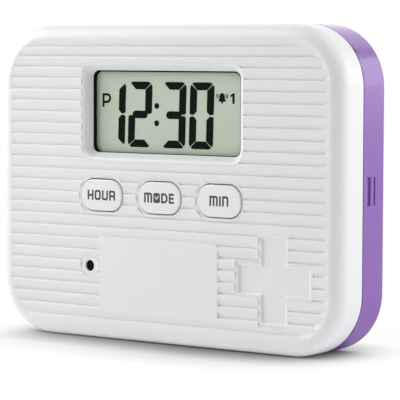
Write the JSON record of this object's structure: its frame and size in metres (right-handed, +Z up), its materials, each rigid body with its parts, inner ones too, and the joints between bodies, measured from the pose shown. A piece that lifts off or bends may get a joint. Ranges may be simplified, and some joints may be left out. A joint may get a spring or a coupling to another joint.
{
  "type": "electronic pill box",
  "caption": "Flat upright pill box: reeded white electronics lid with clock display and keys, side hinged on a shallow purple tray with pill compartments.",
  "frame": {"origin": "middle of the box's flat bottom, on the surface that it stands on", "axes": "+Z up, +X to the right seen from the display side, display faces -Y"},
  "size_m": [0.0914, 0.0168, 0.067],
  "materials": {
    "cover_white": "fine satin moulding",
    "key_white": "satin moulding with grey printed legend",
    "tray_purple": "semi gloss moulding",
    "gasket_black": "matt foam",
    "display_glass": "grey green reflective display",
    "connector_rubber": "striped conductive rubber",
    "board_green": "solder mask",
    "resin_black": "cast resin",
    "chip_brown": "fired ceramic",
    "steel": "plain",
    "brass": "rolled",
    "ceramic_white": "fired ceramic",
    "silicone_grey": "translucent silicone"
  },
  "bodies": {
    "tray": {"pill_tray": "tray_purple", "hinge_pin": "steel"},
    "lid": {"front_cover": "cover_white", "lid_back_plate": "cover_white", "latch_hook": "cover_white", "lcd_gasket": "gasket_black", "sound_mesh": "gasket_black", "lcd_panel": "display_glass", "lcd_connector": "connector_rubber", "main_board": "board_green", "driver_chip_blob": "resin_black", "board_passives": "chip_brown", "quartz_crystal": "steel", "contact_pads": "brass", "hour_dome": "silicone_grey", "mode_dome": "silicone_grey", "minute_dome": "silicone_grey", "buzzer_disc": "brass", "buzzer_ceramic": "ceramic_white", "buzzer_springs": "steel", "coin_cell": "steel", "battery_contact_positive": "steel", "battery_contact_negative": "steel", "lid_screws": "steel", "board_screws": "steel"},
    "hour_button": {"hour_button": "key_white"},
    "mode_button": {"mode_button": "key_white"},
    "minute_button": {"minute_button": "key_white"},
    "battery_door": {"battery_door": "cover_white"}
  },
  "joints": [
    {"name": "lid_hinge", "type": "hinge", "parent": "tray", "child": "lid", "pos_m": [-0.0452, -0.0004, 0.0335], "axis": [0, 0, -1], "range_deg": [0, 180], "deforming": ["latch_hook"]},
    {"name": "hour_press", "type": "slide", "parent": "lid", "child": "hour_button", "axis": [0, 1, 0], "range_m": [0, 0.0006], "stiffness_N_per_m": 1000, "deforming": ["hour_dome"]},
    {"name": "mode_press", "type": "slide", "parent": "lid", "child": "mode_button", "axis": [0, 1, 0], "range_m": [0, 0.0006], "stiffness_N_per_m": 1000, "deforming": ["mode_dome"]},
    {"name": "minute_press", "type": "slide", "parent": "lid", "child": "minute_button", "axis": [0, 1, 0], "range_m": [0, 0.0006], "stiffness_N_per_m": 1000, "deforming": ["minute_dome"]},
    {"name": "battery_door_turn", "type": "hinge", "parent": "lid", "child": "battery_door", "pos_m": [0.025, -0.00115, 0.016], "axis": [0, 1, 0], "range_deg": [0, 45]}
  ]
}
